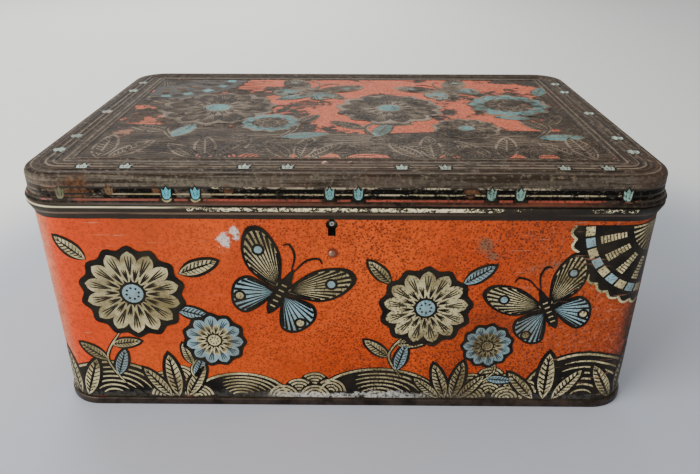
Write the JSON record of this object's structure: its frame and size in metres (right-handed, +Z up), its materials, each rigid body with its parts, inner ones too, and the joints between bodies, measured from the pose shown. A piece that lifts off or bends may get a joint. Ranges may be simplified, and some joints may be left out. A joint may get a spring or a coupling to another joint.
{
  "type": "candy tin",
  "caption": "Hinged rectangular candy tin of printed tinplate with a hemmed, ridged lid on a wire hinge, a seamed bottom and a small key lock.",
  "frame": {"origin": "middle of the underside, in the plane of the bottom seam's land", "axes": "+X to the right seen from the front, +Y from the front to the back, +Z up; the keyhole is in the front wall at -Y"},
  "size_m": [0.2442, 0.1682, 0.1054],
  "materials": {
    "wall_print": "worn gloss print",
    "lid_print": "worn gloss print",
    "tinplate": "dull tinplate",
    "lock_steel": "dull steel",
    "rivet_metal": "dull, tarnished"
  },
  "bodies": {
    "tin": {"body_wall": "wall_print", "bottom_panel": "tinplate", "hinge_lug_left": "tinplate", "hinge_lug_right": "tinplate", "lock_case": "tinplate", "key_post": "lock_steel", "bolt_studs": "lock_steel", "lock_rivet": "rivet_metal"},
    "lid": {"lid_shell": "lid_print", "hinge_wire": "lock_steel", "hasp": "lock_steel", "hasp_rivets": "rivet_metal"},
    "bolt": {"lock_bolt": "lock_steel", "bolt_spring": "lock_steel"}
  },
  "joints": [
    {"name": "lid_hinge", "type": "hinge", "parent": "tin", "child": "lid", "pos_m": [0, 0.0832, 0.09395], "axis": [-1, 0, 0], "range_deg": [0, 105]},
    {"name": "bolt_slide", "type": "slide", "parent": "tin", "child": "bolt", "axis": [1, 0, 0], "range_m": [0, 0.0034]}
  ]
}
